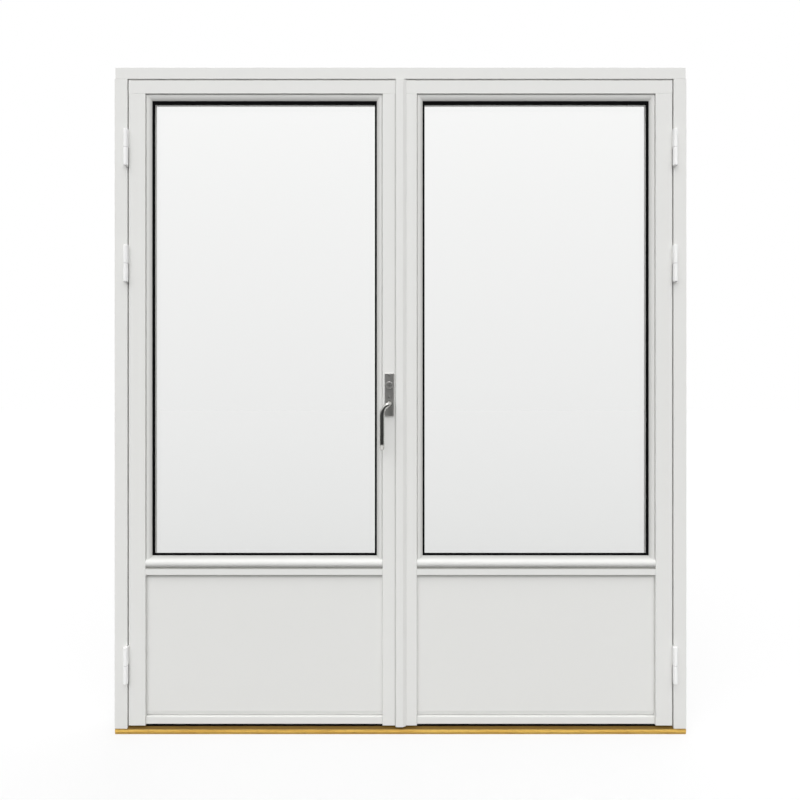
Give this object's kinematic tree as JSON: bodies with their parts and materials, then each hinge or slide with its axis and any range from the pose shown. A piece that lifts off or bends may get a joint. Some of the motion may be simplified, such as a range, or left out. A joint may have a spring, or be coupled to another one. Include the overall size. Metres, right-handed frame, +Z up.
{
  "type": "french doors",
  "caption": "White timber double patio doors in a rebated frame with an oak threshold: glazed leaves over flat panels, barrel hinges, astragal and lever handle.",
  "frame": {"origin": "middle of the threshold's width, on its underside, in the plane of the frame's outdoor face", "axes": "+X to the right seen from outdoors, +Y indoors, +Z up"},
  "size_m": [1.785, 0.169, 2.08],
  "materials": {
    "painted_wood": "white opaque paint on timber, satin",
    "oak": "clear-varnished oak, satin",
    "glass": "clear float glass",
    "rubber": "black sealing rubber, matt",
    "hinge_white": "white powder coat, satin",
    "satin_steel": "satin steel",
    "zinc_steel": "zinc-plated steel",
    "spacer": "mill aluminium",
    "packer": "moulded plastic"
  },
  "bodies": {
    "frame": {"head": "painted_wood", "left_jamb": "painted_wood", "right_jamb": "painted_wood", "threshold": "oak", "frame_seal": "rubber", "fixing_sleeves": "zinc_steel", "keep_plates": "zinc_steel", "jamb_hinge_halves": "hinge_white", "hinge_pins": "zinc_steel"},
    "active_leaf": {"active_foot_rail": "painted_wood", "active_foot_seal": "rubber", "active_glass_spacer": "spacer", "active_glazing_seals": "rubber", "active_hinge_halves": "hinge_white", "active_hinge_stile": "painted_wood", "active_meeting_stile": "painted_wood", "active_mid_rail": "painted_wood", "active_panel": "painted_wood", "active_panes": "glass", "active_setting_blocks": "packer", "active_side_beads": "painted_wood", "active_sill_bead": "painted_wood", "active_top_bead": "painted_wood", "active_top_rail": "painted_wood", "astragal": "painted_wood", "outside_plate": "satin_steel", "inside_plate": "satin_steel", "plate_screws": "satin_steel", "lock_cylinder": "satin_steel", "lock_case": "zinc_steel", "lock_faceplate": "zinc_steel"},
    "lever": {"outside_lever": "satin_steel", "inside_lever": "satin_steel", "spindle": "zinc_steel", "lock_follower": "zinc_steel"},
    "top_rod": {"top_rod": "zinc_steel"},
    "bottom_rod": {"bottom_rod": "zinc_steel"},
    "cylinder": {"cylinder_plug": "satin_steel", "thumb_turn": "satin_steel"},
    "passive_leaf": {"passive_foot_rail": "painted_wood", "passive_foot_seal": "rubber", "passive_glass_spacer": "spacer", "passive_glazing_seals": "rubber", "passive_hinge_halves": "hinge_white", "passive_hinge_stile": "painted_wood", "passive_meeting_stile": "painted_wood", "passive_mid_rail": "painted_wood", "passive_panel": "painted_wood", "passive_panes": "glass", "passive_setting_blocks": "packer", "passive_side_beads": "painted_wood", "passive_sill_bead": "painted_wood", "passive_top_bead": "painted_wood", "passive_top_rail": "painted_wood", "inner_strip": "painted_wood", "inner_strip_seal": "rubber", "flush_bolt_plates": "zinc_steel"},
    "passive_top_bolt": {"passive_top_bolt": "zinc_steel"},
    "passive_bottom_bolt": {"passive_bottom_bolt": "zinc_steel"}
  },
  "joints": [
    {"name": "active_leaf_hinge", "type": "hinge", "parent": "frame", "child": "active_leaf", "pos_m": [-0.8532, -0.009, 1], "axis": [0, 0, -1], "range_deg": [0, 170]},
    {"name": "passive_leaf_hinge", "type": "hinge", "parent": "frame", "child": "passive_leaf", "pos_m": [0.8532, -0.009, 1], "axis": [0, 0, 1], "range_deg": [0, 170]},
    {"name": "lever_turn", "type": "hinge", "parent": "active_leaf", "child": "lever", "pos_m": [-0.035, 0.03, 1.031], "axis": [0, 1, 0], "range_deg": [0, 90]},
    {"name": "top_rod_slide", "type": "slide", "parent": "active_leaf", "child": "top_rod", "axis": [0, 0, -1], "range_m": [0, 0.02]},
    {"name": "bottom_rod_slide", "type": "slide", "parent": "active_leaf", "child": "bottom_rod", "axis": [0, 0, 1], "range_m": [0, 0.02]},
    {"name": "cylinder_turn", "type": "hinge", "parent": "active_leaf", "child": "cylinder", "pos_m": [-0.035, 0.03, 1.088], "axis": [0, 1, 0], "range_deg": [0, 90]},
    {"name": "passive_top_bolt_slide", "type": "slide", "parent": "passive_leaf", "child": "passive_top_bolt", "axis": [0, 0, -1], "range_m": [0, 0.018]},
    {"name": "passive_bottom_bolt_slide", "type": "slide", "parent": "passive_leaf", "child": "passive_bottom_bolt", "axis": [0, 0, 1], "range_m": [0, 0.018]}
  ],
  "couplings": [
    {"joint": "top_rod_slide", "follows": "lever_turn", "m_per_rad": 0.01272},
    {"joint": "bottom_rod_slide", "follows": "lever_turn", "m_per_rad": 0.01272}
  ]
}
